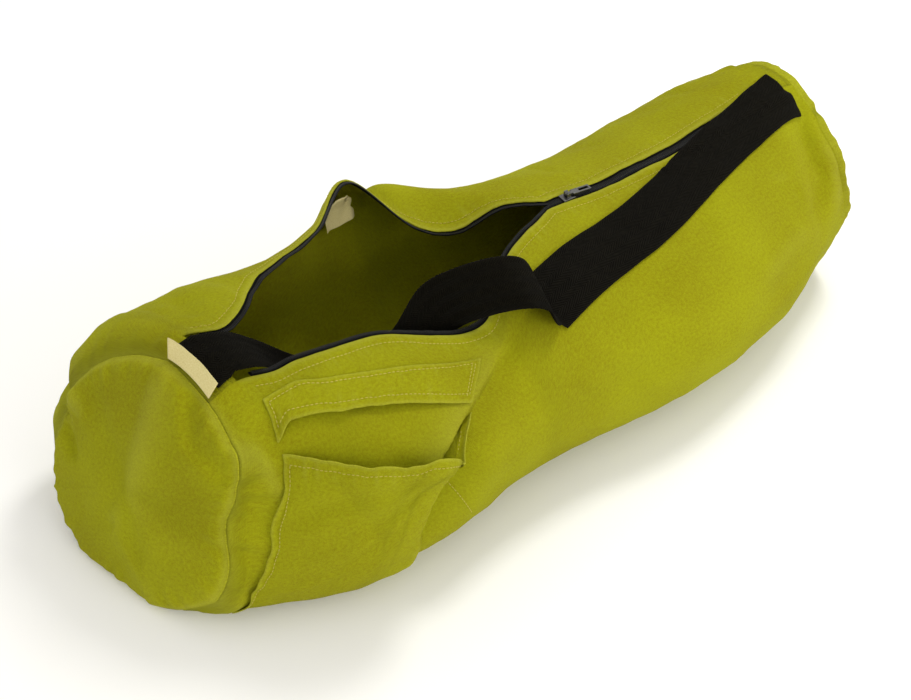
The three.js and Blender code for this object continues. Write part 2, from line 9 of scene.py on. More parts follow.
import bmesh
import bpy
import numpy as np
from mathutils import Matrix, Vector


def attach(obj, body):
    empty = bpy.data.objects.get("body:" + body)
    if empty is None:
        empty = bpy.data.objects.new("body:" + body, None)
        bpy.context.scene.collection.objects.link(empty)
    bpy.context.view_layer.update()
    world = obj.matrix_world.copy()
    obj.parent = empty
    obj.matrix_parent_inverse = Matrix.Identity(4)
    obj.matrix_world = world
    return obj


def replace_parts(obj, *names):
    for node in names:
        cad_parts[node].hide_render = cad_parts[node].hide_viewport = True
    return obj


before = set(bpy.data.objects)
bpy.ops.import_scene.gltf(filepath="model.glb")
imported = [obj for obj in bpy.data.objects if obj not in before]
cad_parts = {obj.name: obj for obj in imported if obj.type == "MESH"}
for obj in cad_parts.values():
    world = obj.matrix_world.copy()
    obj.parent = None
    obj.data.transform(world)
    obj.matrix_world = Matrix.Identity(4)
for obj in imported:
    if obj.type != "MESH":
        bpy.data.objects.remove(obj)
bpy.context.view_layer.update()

RAD = math.pi / 180

# Camera, at the photograph's viewing angle
camera_data = bpy.data.cameras.new("camera")
camera_data.lens = 43.35
camera_data.sensor_width = 36.0
camera_data.clip_start = 0.05
camera = bpy.data.objects.new("camera", camera_data)
camera.location = (-0.5047, -0.5763, 0.8360)
camera.rotation_euler = (44 * RAD, 0, -36.7 * RAD)
bpy.context.scene.collection.objects.link(camera)
bpy.context.scene.camera = camera
bpy.context.scene.view_settings.view_transform = "Standard"

# Sizes, as in the solids where those have them, but the canvas and the strap are a little thinner
LENGTH = 755.0
WIDTH = 290.0
HEIGHT = 206.0
CLOTH = 1.5  # thickness of the canvas
ZIP_HALF = 6.5  # half width of the zip between the two hems
SLOT_START = 0.03
SLOT_END = 0.955
HALF_WAY = 0.62  # share of LENGTH where rows of points change their spacing
HEM_SEAM = 9.3  # from a hem's edge to its sewn line
STRAP_WIDTH = 50.0
STRAP_THICKNESS = 2.4
WEBBING_RIB = 6.2  # width of one rib of the strap's weave
WAIST = 0.47  # height of the widest point, share of the section's top
SOLE = 0.03  # share of the lower half that is pressed flat on the floor
FRONT_REACH = 35.0  # how far round the body the moved front edge pulls the cloth, degrees

# Sections of the body: at, front, back, top, lean, yaw, crown, foot, skew, zip
SECTIONS = np.array([
    (0.0, -0.262, 0.475, 0.98, 28, 17, 1.95, 2.3, 0.05, 12),
    (0.03, -0.322, 0.575, 0.99, 26, 16, 2.1, 2.5, 0.035, 11),
    (0.08, -0.4, 0.61, 0.985, 22, 13, 2.2, 2.7, 0.015, 10),
    (0.15, -0.462, 0.59, 0.97, 15, 8, 2.2, 2.9, 0, 8),
    (0.27, -0.488, 0.57, 0.93, 6, 3, 2.3, 3.0, 0, 3),
    (0.4, -0.455, 0.56, 0.89, 1, 0, 2.3, 3.0, 0.02, -4),
    (0.52, -0.48, 0.53, 0.89, 0, 0, 2.2, 3.0, 0.05, -8),
    (0.65, -0.518, 0.49, 0.9, 0, 0, 2.1, 2.9, 0.06, -5),
    (0.78, -0.49, 0.47, 0.93, -2, 0, 2.1, 2.9, 0.08, 3),
    (0.9, -0.418, 0.43, 0.985, -6, 0, 2.1, 2.7, 0.1, 8),
    (0.96, -0.36, 0.39, 1.02, -5, 0, 2.0, 2.5, 0.11, 9),
    (1.0, -0.31, 0.33, 1.04, -5, 0, 2.0, 2.3, 0.11, 8),
])
# The zip slot's edges: at, front, back, frontOut, frontUp, backOut, backUp, backReach
MOUTH = np.array([
    (0.03, 16, 17, 0, 0, 0, 0, 48),
    (0.04, 16, 17, 0, 0, 0, 0, 48),
    (0.076, 16, 17, 0, 0, 0, 0, 48),
    (0.125, 12, 28, 0, 0, 0, 0, 48),
    (0.18, 12, 43, 0, 0, 0, 0, 48),
    (0.25, 15, 55, 0, -0.02, 0, 0.05, 48),
    (0.32, 27, 58, 0.02, -0.05, 0.03, 0.1, 46),
    (0.365, 35, 60, 0.02, -0.07, 0.07, 0.12, 44),
    (0.4, 38, 56, 0.02, -0.05, 0.06, 0.08, 30),
    (0.435, 32, 43, 0, 0, -0.02, -0.08, 14),
    (0.48, 21, 33, 0, 0, -0.04, -0.12, 14),
    (0.54, 11, 19, 0, 0, 0, -0.04, 14),
    (0.595, 0, 0, 0, 0, 0, 0, 25),
    (1.0, 0, 0, 0, 0, 0, 0, 25),
])
# Broad folds and dents: at, turn, slant, long, round, out
FOLDS = [
    (0.245, 80, -0.0026, 0.03, 26, -0.035),
    (0.31, 80, -0.0024, 0.04, 28, 0.03),
    (0.43, -68, 0, 0.065, 18, 0.19),
    (0.48, -75, 0, 0.045, 25, 0.05),
    (0.165, -52, 0, 0.06, 28, 0.055),
    (0.975, 40, 0, 0.03, 10, -0.035),
    (0.94, 55, -0.001, 0.02, 20, -0.045),
    (0.05, 128, 0, 0.16, 34, 0.055),
    (0.2, 128, 0, 0.08, 34, 0.025),
    (0.92, 112, 0, 0.07, 34, -0.03),
]
# Small folds: points (at, turn) of the fold's line, its widths right and left of it, its height
CREASES = [
    ([(0.43, 46), (0.376, 54), (0.31, 65), (0.236, 74), (0.21, 98), (0.205, 122)], 34, 7, -12.0),
    ([(0.412, 42), (0.355, 51), (0.292, 62), (0.215, 72), (0.188, 98)], 7, 16, 5.0),
    ([(0.99, 18), (0.973, 34), (0.96, 51), (0.955, 62), (0.935, 70), (0.88, 71)], 9, 8, -6.5),
    ([(0.995, 40), (0.985, 55), (0.975, 70), (0.95, 84)], 12, 12, 3.5),
    ([(0.992, 12), (0.985, 34)], 9, 9, -5.0),
    ([(0.855, 50), (0.893, 54)], 4, 6, -2.6),
    ([(0.893, 54), (0.888, 61)], 4, 4, -2.2),
    ([(0.86, 46), (0.89, 50)], 6, 5, 1.6),
    ([(0.93, 66), (0.84, 64), (0.75, 67)], 7, 12, -2.6),
    ([(0.93, 74), (0.84, 71), (0.74, 76)], 12, 9, 2.4),
    ([(0.9, 84), (0.79, 84), (0.69, 92)], 10, 14, -2.4),
    ([(0.722, 38), (0.73, 54)], 7, 9, -2.0),
    ([(0.64, 52), (0.56, 62), (0.47, 68)], 12, 16, -1.8),
    ([(0.62, 78), (0.52, 84), (0.42, 88)], 12, 18, -2.2),
    ([(0.5, 100), (0.4, 102), (0.3, 108)], 14, 14, -2.0),
    ([(0.07, -20), (0.104, -48)], 9, 12, -4.5),
    ([(0.046, -9), (0.062, -42)], 8, 9, -2.6),
    ([(0.04, -68), (0.046, -38), (0.036, -12)], 9, 12, 3.2),
    ([(0.12, -62), (0.15, -30)], 9, 12, 2.2),
    ([(0.0, 44), (0.012, 60), (0.024, 77)], 6, 6, 6.0),
    ([(0.0, 60), (0.02, 84)], 7, 5, -7.0),
    ([(0.0, 90), (0.014, 100), (0.03, 120)], 8, 5, -5.0),
    ([(0.0, 112), (0.03, 135)], 9, 9, 4.0),
    ([(0.035, -84), (0.0, -79)], 8, 8, -10.0),
    ([(0.03, -98), (0.0, -95)], 9, 9, 5.0),
    ([(0.03, -72), (0.0, -66)], 8, 8, 3.0),
    ([(0.628, -56), (0.633, -30)], 4, 8, -2.0),
    ([(0.7, -60), (0.73, -28)], 8, 12, -1.6),
    ([(0.88, -50), (0.9, -20)], 8, 12, -2.2),
    ([(0.07, 66), (0.16, 100)], 10, 14, -2.6),
    ([(0.09, 118), (0.17, 86)], 12, 14, 1.6),
]
# Dents and swellings beside the near seam: turn, reach along and round the bag, millimetres outwards
SEAM_PULLS = [
    (84, 18, 13, -14.0),
    (60, 16, 9, 4.5),
    (120, 18, 14, 3.0),
    (-30, 16, 22, -3.0),
]


def smooth_curve(xs, ys):
    """A smooth curve through a table's points, as a function of x."""
    xs, ys = np.asarray(xs, float), np.asarray(ys, float)
    last = len(xs) - 1
    before = np.maximum(np.arange(last + 1) - 1, 0)
    after = np.minimum(np.arange(last + 1) + 1, last)
    slope = (ys[after] - ys[before]) / (xs[after] - xs[before])

    def value(x):
        x = np.asarray(x, float)
        i = np.clip(np.searchsorted(xs, x) - 1, 0, last - 1)
        span = xs[i + 1] - xs[i]
        t = np.clip((x - xs[i]) / span, 0, 1)
        rise = ys[i + 1] - ys[i]
        start, end = slope[i] * span, slope[i + 1] * span
        return ys[i] + t * (start + t * (3 * rise - 2 * start - end + t * (start + end - 2 * rise)))

    return value


(front_of, back_of, top_of, lean_of, yaw_of, crown_of, foot_of, skew_of, zip_of) = [
    smooth_curve(SECTIONS[:, 0], SECTIONS[:, column]) for column in range(1, 10)
]
(front_free, back_free, front_out, front_up, back_out, back_up, back_reach) = [
    smooth_curve(MOUTH[:, 0], MOUTH[:, column]) for column in range(1, 8)
]


def bump(x):
    return np.exp(-x * x)


def ramp(x, low, high):
    """0 below low, 1 above high and smooth between."""
    t = np.clip((x - low) / (high - low), 0, 1)
    return t * t * (3 - 2 * t)


def wave(x, seed, length):
    """A smooth uneven wave of about the given length, from -1 to 1, the same on each run."""
    total = 0
    for k in range(4):
        pace = 1 + 0.37 * k + 0.11 * math.sin(seed * 3.1 + k)
        total = total + np.sin(2 * math.pi * x * pace / length + seed * (1.7 + k * 2.3) + k)
    return total / 2.6


def girth(at, turn):
    """The middle, the height of the waist, the radius at turn and the crest above the waist."""
    front, back, top = front_of(at) * WIDTH, back_of(at) * WIDTH, top_of(at) * HEIGHT
    waist = WAIST * top
    rise = np.where(np.cos(turn * RAD) > 0, top - waist, waist * (1 + SOLE))
    power = np.where(np.cos(turn * RAD) > 0, crown_of(at), foot_of(at))
    across = np.abs(np.sin(turn * RAD) / ((back - front) / 2)) ** power
    upright = np.abs(np.cos(turn * RAD) / rise) ** power
    return (front + back) / 2, waist, (across + upright) ** (-1 / power), top - waist


def edge_turn(at, side):
    """Turn of the slot's front edge, side 1, or its back edge, side -1."""
    free = front_free(at) if side > 0 else back_free(at)
    return zip_of(at) + side * np.maximum(free, ZIP_HALF / girth(at, zip_of(at))[2] / RAD)


def line_distance(x, y, points):
    """Distance from a line of points, negative right of it, and the nearest place as a share of the line."""
    points = np.asarray(points, float)
    sizes = np.linalg.norm(np.diff(points, axis=0), axis=1)
    starts = np.concatenate([[0], np.cumsum(sizes)])
    nearest = np.full(np.shape(x), np.inf)
    signed, share = np.zeros(np.shape(x)), np.zeros(np.shape(x))
    for low, high, size, start in zip(points[:-1], points[1:], sizes, starts):
        dx, dy = (high - low) / size
        px, py = x - low[0], y - low[1]
        along = np.clip(px * dx + py * dy, 0, size)
        off = np.hypot(px - along * dx, py - along * dy)
        closer = off < nearest
        nearest = np.where(closer, off, nearest)
        signed = np.where(closer, off * np.sign(dx * py - dy * px), signed)
        share = np.where(closer, (start + along) / starts[-1], share)
    return signed, share


ROUND_MM = 2.0  # millimetres round the body in one degree of turn, near enough for the small folds


def wrapped(turn):
    """The same turn, between -120 and 240 degrees."""
    return (turn + 120) % 360 - 120


def crease_lift(at, turn):
    total = 0
    for points, right, left, height in CREASES:
        line = [(a * LENGTH, t * ROUND_MM) for a, t in points]
        off, share = line_distance(at * LENGTH, turn * ROUND_MM, line)
        taper = 0.25 + 0.75 * ramp(share, 0, 0.3) * (1 - ramp(share, 0.7, 1))
        total = total + height * taper * bump(off / np.where(off < 0, right, left))
    return total


def hem_shape(at, turn, radius):
    """Lift and wear of the hems along the slot: two layers, a sewn line and its puckers."""
    lift, wear = 0, 0
    here = ramp(at, SLOT_START - 0.004, SLOT_START + 0.012)
    here = here * (1 - ramp(at, SLOT_END - 0.01, SLOT_END + 0.004))
    for side in (1, -1):
        past = side * (turn - edge_turn(at, side)) * RAD * radius
        past = np.where(past < -40, past + 360 * RAD * radius, past)
        pucker = wave(at * LENGTH, 6.0 + side, 13) * bump((past - 10.5) / 9)
        lift = lift + here * (0.8 * bump((past - 4) / 5.5) - 0.7 * bump((past - HEM_SEAM) / 1.7))
        lift = lift + here * 0.3 * pucker
        wear = wear + here * (bump((past - 1) / 2.5) + 0.5 * np.maximum(pucker, 0))
    return lift, wear


def fine_lift(at, turn, radius):
    """Small folds and puckers, in millimetres out of the smooth tube."""
    turn = wrapped(turn)
    round_mm = turn * ROUND_MM
    near, far = at * LENGTH, (1 - at) * LENGTH
    lift = 1.2 * wave(near + 0.5 * round_mm, 1.0, 210) + 0.8 * wave(round_mm - 0.35 * near, 2.0, 150)
    lift = lift + 0.45 * wave(near * 0.8 - round_mm * 0.9, 5.0, 64)
    lift = lift + 0.22 * wave(near * 0.5 + round_mm * 1.1, 8.0, 27)
    lift = lift + crease_lift(at, turn)
    for centre, long, around, height in SEAM_PULLS:
        lift = lift + height * bump(near / long) * bump((turn - centre) / around)
    # Gathers at the two end seams, and the roll of the cloth into them
    lift = lift + 1.3 * wave(round_mm, 3.0, 33) * bump(near / 26) * ramp(near, 0, 8)
    lift = lift + 1.7 * wave(round_mm, 4.0, 36) * bump(far / 34) * ramp(far, 0, 8)
    lift = lift - 6.0 * bump(near / 5) - 3.4 * bump(far / 5)
    off_floor = ramp(np.abs(turn - 180), 18, 55)
    return lift * off_floor + hem_shape(at, turn, radius)[0]


def body_point(at, turn, detail=True):
    """Points on the outside of the canvas tube."""
    middle, waist, radius, crest = girth(at, turn)
    reach = radius
    for place, centre, slant, long, around, out in FOLDS:
        off = (turn - centre + 180) % 360 - 180
        reach = reach + out * HEIGHT * bump((at - place - slant * off) / long) * bump(off / around)
    if detail:
        reach = reach + fine_lift(at, turn, radius)
    y = middle - reach * np.sin(turn * RAD)
    z = waist + reach * np.cos(turn * RAD)
    edges = ((1, front_out, front_up, FRONT_REACH), (-1, back_out, back_up, back_reach(at)))
    for side, out, up, pulled in edges:
        past = (side * (turn - edge_turn(at, side))) % 360
        pull = bump(np.minimum(past, 360 - past) / pulled)
        y = y - side * pull * out(at) * HEIGHT
        z = z + pull * up(at) * HEIGHT
    y = y + skew_of(at) * WIDTH * np.maximum(z - waist, 0) / crest
    z = np.maximum(z, 0)
    x = (at - 0.5) * LENGTH + np.tan(lean_of(at) * RAD) * (z - waist)
    x = x - np.tan(yaw_of(at) * RAD) * (y - middle)
    return np.stack([x, y, z], -1)


def unit(vectors):
    return vectors / np.maximum(np.linalg.norm(vectors, axis=-1, keepdims=True), 1e-9)


def outwards(at, turn):
    """Unit vectors out of the detailed tube."""
    step_at, step_turn = 0.0016, 0.5
    along = body_point(np.minimum(at + step_at, 1), turn) - body_point(np.maximum(at - step_at, 0), turn)
    around = body_point(at, turn + step_turn) - body_point(at, turn - step_turn)
    return unit(np.cross(around, along))


def above(at, turn, lift):
    """Points at a height above the outside of the tube."""
    at, turn, lift = np.broadcast_arrays(*[np.asarray(value, float) for value in (at, turn, lift)])
    return body_point(at, turn) + outwards(at, turn) * lift[..., None]


def turn_by(at, turn, length):
    return turn + length / girth(at, turn)[2] / RAD


def end_plane(at, side):
    """The outward normal of an end seam's plane."""
    return side * unit(np.array([1, math.tan(yaw_of(at) * RAD), -math.tan(lean_of(at) * RAD)]))


# Mesh makers
def uneven(low, high, count, grain):
    """Places from low to high, closer together towards both ends."""
    t = np.linspace(0, 1, count)
    return low + (high - low) * (t - grain * np.sin(2 * math.pi * t) / (2 * math.pi))


def new_piece(name, points, faces, body, material, uv, wear=None):
    mesh = bpy.data.meshes.new(name)
    mesh.from_pydata((np.asarray(points, float) / 1000).tolist(), [], faces)
    corners = np.empty(len(mesh.loops), np.int32)
    mesh.loops.foreach_get("vertex_index", corners)
    mesh.uv_layers.new(name="cloth").data.foreach_set("uv", np.asarray(uv, np.float32)[corners].ravel())
    rub = mesh.attributes.new("rub", "FLOAT", "POINT")
    wear = np.zeros(len(points)) if wear is None else wear
    rub.data.foreach_set("value", wear.astype(np.float32))
    mesh.update()
    shaped = bmesh.new()
    shaped.from_mesh(mesh)
    bmesh.ops.recalc_face_normals(shaped, faces=shaped.faces)
    shaped.to_mesh(mesh)
    shaped.free()
    mesh.polygons.foreach_set("use_smooth", [True] * len(mesh.polygons))
    mesh.materials.append(material)
    piece = bpy.data.objects.new(name, mesh)
    bpy.context.scene.collection.objects.link(piece)
    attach(piece, body)
    return piece


def shell(outer, inner, keep):
    """Points and faces of a closed sheet between two grids of points, with round edges.

    keep says which cells of the grid are cloth; it has one more column where the grid goes right round.
    Returned last is each point's place in the outer grid.
    """
    rows, columns = outer.shape[:2]
    count = rows * columns
    thickness = np.linalg.norm(outer - inner, axis=-1).reshape(-1)
    top, under = outer.reshape(-1, 3), inner.reshape(-1, 3)
    i, j = np.nonzero(keep)
    k = (j + 1) % columns
    cells = np.stack([i * columns + j, (i + 1) * columns + j, (i + 1) * columns + k, i * columns + k], -1)
    edges = np.concatenate([np.stack([cells[:, m], cells[:, (m + 1) % 4]], -1) for m in range(4)])
    owner = np.tile(np.arange(len(cells)), 4)
    free = ~np.isin(edges[:, 0] * count + edges[:, 1], edges[:, 1] * count + edges[:, 0])
    rim, owner = edges[free], owner[free]
    ahead = unit(top[rim[:, 1]] - top[rim[:, 0]])
    away = (top[rim[:, 0]] + top[rim[:, 1]]) / 2 - top[cells].mean(1)[owner]
    away = unit(away - (away * ahead).sum(1, keepdims=True) * ahead)
    push = np.zeros((count, 3))
    np.add.at(push, rim[:, 0], away)
    np.add.at(push, rim[:, 1], away)
    on_rim = np.unique(rim)
    number = np.full(count, -1)
    number[on_rim] = 2 * count + np.arange(len(on_rim))
    round_edge = (top + under)[on_rim] / 2 + unit(push[on_rim]) * thickness[on_rim, None] * 0.5
    points = np.concatenate([top, under, round_edge])
    a, b = rim[:, 0], rim[:, 1]
    upper = np.stack([b, a, number[a], number[b]], -1)
    lower = np.stack([number[b], number[a], a + count, b + count], -1)
    faces = np.concatenate([cells, cells[:, ::-1] + count, upper, lower])
    used = np.unique(faces)
    renumber = np.full(len(points), -1)
    renumber[used] = np.arange(len(used))
    grid_place = np.concatenate([np.arange(count), np.arange(count), on_rim])[used]
    return points[used], renumber[faces].tolist(), grid_place


def whole(grid):
    return np.ones((grid.shape[0] - 1, grid.shape[1] - 1), bool)


BAR_SIDES = 6


def bars(centres, ups, sides, sizes):
    """Points and faces of many short rounded bars. centres: bars x rings x 3."""
    rings = centres.shape[1]
    turn = np.arange(BAR_SIDES) * 2 * math.pi / BAR_SIDES
    ring = ups[:, None, None] * np.cos(turn)[:, None] + sides[:, None, None] * np.sin(turn)[:, None]
    points = centres[:, :, None] + ring * np.asarray(sizes)[None, :, None, None]
    start = np.arange(len(centres))[:, None, None] * rings * BAR_SIDES
    i, j = np.meshgrid(np.arange(rings - 1) * BAR_SIDES, np.arange(BAR_SIDES), indexing="ij")
    k = (j + 1) % BAR_SIDES
    quads = np.stack([i + j, i + k, i + k + BAR_SIDES, i + j + BAR_SIDES], -1).reshape(1, -1, 4)
    first = np.arange(BAR_SIDES)[::-1] + start[:, 0]
    last = np.arange(BAR_SIDES) + (rings - 1) * BAR_SIDES + start[:, 0]
    return points.reshape(-1, 3), (quads + start).reshape(-1, 4).tolist() + first.tolist() + last.tolist()


# Materials
def node_material(name):
    material = bpy.data.materials.new(name)
    material.use_nodes = True
    tree = material.node_tree
    return material, tree.nodes, tree.links, tree.nodes["Principled BSDF"]


def add_node(nodes, kind, inputs=None, **settings):
    made = nodes.new(kind)
    for key, value in settings.items():
        setattr(made, key, value)
    for key, value in (inputs or {}).items():
        made.inputs[key].default_value = value
    return made


def arithmetic(nodes, links):
    """A short way to write math nodes."""

    def apply(operation, *values):
        made = add_node(nodes, "ShaderNodeMath", operation=operation)
        for place, value in enumerate(values):
            if isinstance(value, (int, float)):
                made.inputs[place].default_value = value
            else:
                links.new(value, made.inputs[place])
        return made.outputs[0]

    return apply


def cloth_material(name, dark, light, rubbed, pitch, depth, gloss, rib=0.0):
    """Woven cloth: crossing threads, slubs, speckled dye and rubbed edges.

    pitch: of the threads, in metres. rib: width of a herringbone's ribs, or 0 for a plain weave.
    """
    material, nodes, links, shader = node_material(name)
    shader.inputs["Roughness"].default_value = 0.85
    shader.inputs["Sheen Weight"].default_value = 0.015
    shader.inputs["Sheen Roughness"].default_value = 0.6
    shader.inputs["Specular IOR Level"].default_value = gloss
    calc = arithmetic(nodes, links)
    uv = add_node(nodes, "ShaderNodeUVMap", uv_map="cloth")
    split = add_node(nodes, "ShaderNodeSeparateXYZ")
    links.new(uv.outputs[0], split.inputs[0])
    if rib:
        slanted = calc("ADD", split.outputs[0], calc("PINGPONG", split.outputs[1], rib))
        threads = calc("SINE", calc("MULTIPLY", slanted, 2 * math.pi / pitch))
    else:
        warp = calc("SINE", calc("MULTIPLY", split.outputs[0], 2 * math.pi / pitch))
        weft = calc("SINE", calc("MULTIPLY", split.outputs[1], 2 * math.pi / pitch))
        threads = calc("MULTIPLY", warp, weft)
    slubs = add_node(nodes, "ShaderNodeTexNoise", {"Scale": 0.4 / pitch, "Detail": 3.0, "Roughness": 0.65})
    speckle = add_node(nodes, "ShaderNodeTexNoise", {"Scale": 1.3 / pitch, "Detail": 2.0, "Roughness": 0.7})
    place = add_node(nodes, "ShaderNodeTexCoord")
    broad = add_node(nodes, "ShaderNodeTexNoise", {"Scale": 9.0, "Detail": 4.0, "Roughness": 0.55})
    links.new(uv.outputs[0], slubs.inputs["Vector"])
    links.new(uv.outputs[0], speckle.inputs["Vector"])
    links.new(place.outputs["Object"], broad.inputs["Vector"])
    tone = calc("MULTIPLY_ADD", slubs.outputs["Fac"], 0.4, calc("MULTIPLY", speckle.outputs["Fac"], 0.4))
    tone = calc("MULTIPLY_ADD", broad.outputs["Fac"], 0.3, tone)
    tone = calc("MULTIPLY_ADD", threads, 0.05, tone)
    dye = add_node(nodes, "ShaderNodeValToRGB")
    dye.color_ramp.elements[0].position = 0.4
    dye.color_ramp.elements[0].color = (*dark, 1)
    dye.color_ramp.elements[1].position = 0.7
    dye.color_ramp.elements[1].color = (*light, 1)
    links.new(tone, dye.inputs[0])
    rub = add_node(nodes, "ShaderNodeAttribute", attribute_name="rub")
    worn = calc("MULTIPLY", rub.outputs["Fac"], calc("MULTIPLY", speckle.outputs["Fac"], 0.7))
    mix = add_node(nodes, "ShaderNodeMix", data_type="RGBA", clamp_factor=True)
    colors = [socket for socket in mix.inputs if socket.type == "RGBA"]
    colors[1].default_value = (*rubbed, 1)
    links.new(worn, mix.inputs[0])
    links.new(dye.outputs[0], colors[0])
    links.new([socket for socket in mix.outputs if socket.type == "RGBA"][0], shader.inputs["Base Color"])
    relief = calc("MULTIPLY_ADD", slubs.outputs["Fac"], 1.6, threads)
    rise = add_node(nodes, "ShaderNodeBump", {"Strength": 1.0, "Distance": depth})
    links.new(relief, rise.inputs["Height"])
    links.new(rise.outputs[0], shader.inputs["Normal"])
    return material


def hard_material(name, color, roughness, metallic, scale, depth):
    """Nylon or metal with fine grain: uneven tone, gloss and surface."""
    material, nodes, links, shader = node_material(name)
    shader.inputs["Metallic"].default_value = metallic
    shader.inputs["Specular IOR Level"].default_value = 0.3
    place = add_node(nodes, "ShaderNodeTexCoord")
    grain = add_node(nodes, "ShaderNodeTexNoise", {"Scale": scale, "Detail": 4.0, "Roughness": 0.6})
    links.new(place.outputs["Object"], grain.inputs["Vector"])
    gloss = add_node(nodes, "ShaderNodeMapRange", {"To Min": roughness - 0.12, "To Max": roughness + 0.15})
    links.new(grain.outputs["Fac"], gloss.inputs["Value"])
    links.new(gloss.outputs[0], shader.inputs["Roughness"])
    tone = add_node(nodes, "ShaderNodeValToRGB")
    tone.color_ramp.elements[0].color = (*[part * 0.55 for part in color], 1)
    tone.color_ramp.elements[1].color = (*[min(1, part * 1.6) for part in color], 1)
    links.new(grain.outputs["Fac"], tone.inputs[0])
    links.new(tone.outputs[0], shader.inputs["Base Color"])
    rise = add_node(nodes, "ShaderNodeBump", {"Strength": 0.4, "Distance": depth})
    links.new(grain.outputs["Fac"], rise.inputs["Height"])
    links.new(rise.outputs[0], shader.inputs["Normal"])
    return material


canvas = cloth_material(
    "canvas", (0.275, 0.24, 0.001), (0.455, 0.48, 0.007), (0.52, 0.53, 0.07), 0.0011, 0.0003, 0.06
)
webbing = cloth_material(
    "webbing", (0.0022, 0.0018, 0.001), (0.0075, 0.0065, 0.0035), (0.012, 0.01, 0.006), 0.0022, 0.0004, 0.02,
    rib=WEBBING_RIB / 1000
)
zip_cloth = cloth_material(
    "zip_cloth", (0.002, 0.002, 0.002), (0.007, 0.007, 0.006), (0.01, 0.01, 0.01), 0.0009, 0.00015, 0.04
)
label_cloth = cloth_material(
    "label_cloth", (0.66, 0.56, 0.22), (0.88, 0.79, 0.42), (0.84, 0.8, 0.6), 0.0005, 0.00006, 0.2
)
thread = cloth_material(
    "thread", (0.44, 0.39, 0.03), (0.7, 0.63, 0.14), (0.72, 0.68, 0.2), 0.0005, 0.0001, 0.2
)
nylon = hard_material("coil_nylon", (0.006, 0.006, 0.006), 0.45, 0.0, 900.0, 0.00005)
metal = hard_material("zip_metal", (0.12, 0.12, 0.12), 0.34, 1.0, 600.0, 0.00004)


# The canvas tube
SLOT_STEP = 0.004
TUBE_COLUMNS = 168
SLOT_COLUMNS = 9


def canvas_tube():
    rows = np.concatenate([
        uneven(0, SLOT_START, 12, 0.3),
        uneven(SLOT_START + SLOT_STEP, HALF_WAY, 150, 0),
        uneven(HALF_WAY, SLOT_END - SLOT_STEP, 82, 0)[1:],
        uneven(SLOT_END, 1, 16, 0.3),
    ])
    is_open = (rows > SLOT_START) & (rows < SLOT_END)
    hinge = np.clip(rows, SLOT_START, SLOT_END)
    start, end = edge_turn(hinge, 1), 360 + edge_turn(hinge, -1)
    cloth = start[:, None] + (end - start)[:, None] * uneven(0, 1, TUBE_COLUMNS, 0.5)
    slot = end[:, None] + (start + 360 - end)[:, None] * np.linspace(0, 1, SLOT_COLUMNS + 2)[1:-1]
    turn = np.concatenate([cloth, slot], 1)
    at = np.repeat(rows[:, None], turn.shape[1], 1)
    keep = np.ones((len(rows) - 1, turn.shape[1]), bool)
    keep[is_open[:-1] | is_open[1:], TUBE_COLUMNS - 1:] = False
    outer = body_point(at, turn)
    inner = outer - outwards(at, turn) * CLOTH
    inner[..., 2] = np.maximum(inner[..., 2], CLOTH)
    points, faces, place = shell(outer, inner, keep)
    uv = np.stack([at * LENGTH, spread(outer, 1)], -1).reshape(-1, 2)[place] / 1000
    low_turn = wrapped(turn)
    wear = hem_shape(at, low_turn, girth(at, turn)[2])[1] + 0.6 * bump(at * LENGTH / 3)
    wear = wear + 0.35 * np.maximum(crease_lift(at, low_turn) / 3, 0)
    piece = new_piece("canvas_tube", points, faces, "bag", canvas, uv, wear.reshape(-1)[place])
    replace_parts(piece, "body_panel")


def spread(grid, axis):
    """Length run along an axis of a grid of points."""
    step = np.linalg.norm(np.diff(grid, axis=axis), axis=-1)
    start = np.zeros_like(np.take(step, [0], axis))
    return np.concatenate([start, np.cumsum(step, axis)], axis)


canvas_tube()

PANEL_COLUMNS = 240
PANEL_RINGS = 50
# Soft folds of the end panels: points (turn, share of the radius), widths right and left, height
NEAR_PANEL_FOLDS = [
    ([(18, 0.95), (38, 0.74), (60, 0.9)], 6, 14, -4.5),
    ([(2, 0.8), (20, 0.2), (178, 0.3)], 10, 16, 3.2),
    ([(-50, 0.8), (-40, 0.2), (150, 0.5)], 18, 9, -3.0),
    ([(-82, 1.0), (-96, 0.7)], 7, 9, -6.5),
    ([(-70, 1.0), (-66, 0.75)], 8, 8, 3.6),
    ([(100, 0.95), (120, 0.6)], 10, 12, -2.0),
    ([(150, 0.95), (165, 0.55)], 10, 12, 1.8),
    ([(-150, 0.95), (-140, 0.6)], 10, 12, -1.8),
]
FAR_PANEL_FOLDS = [
    ([(30, 0.95), (20, 0.5)], 10, 12, -3.0),
    ([(70, 0.95), (80, 0.5)], 10, 12, -2.2),
    ([(-60, 0.95), (-50, 0.4)], 12, 14, 2.2),
    ([(140, 0.9), (180, 0.3)], 12, 14, -2.0),
]


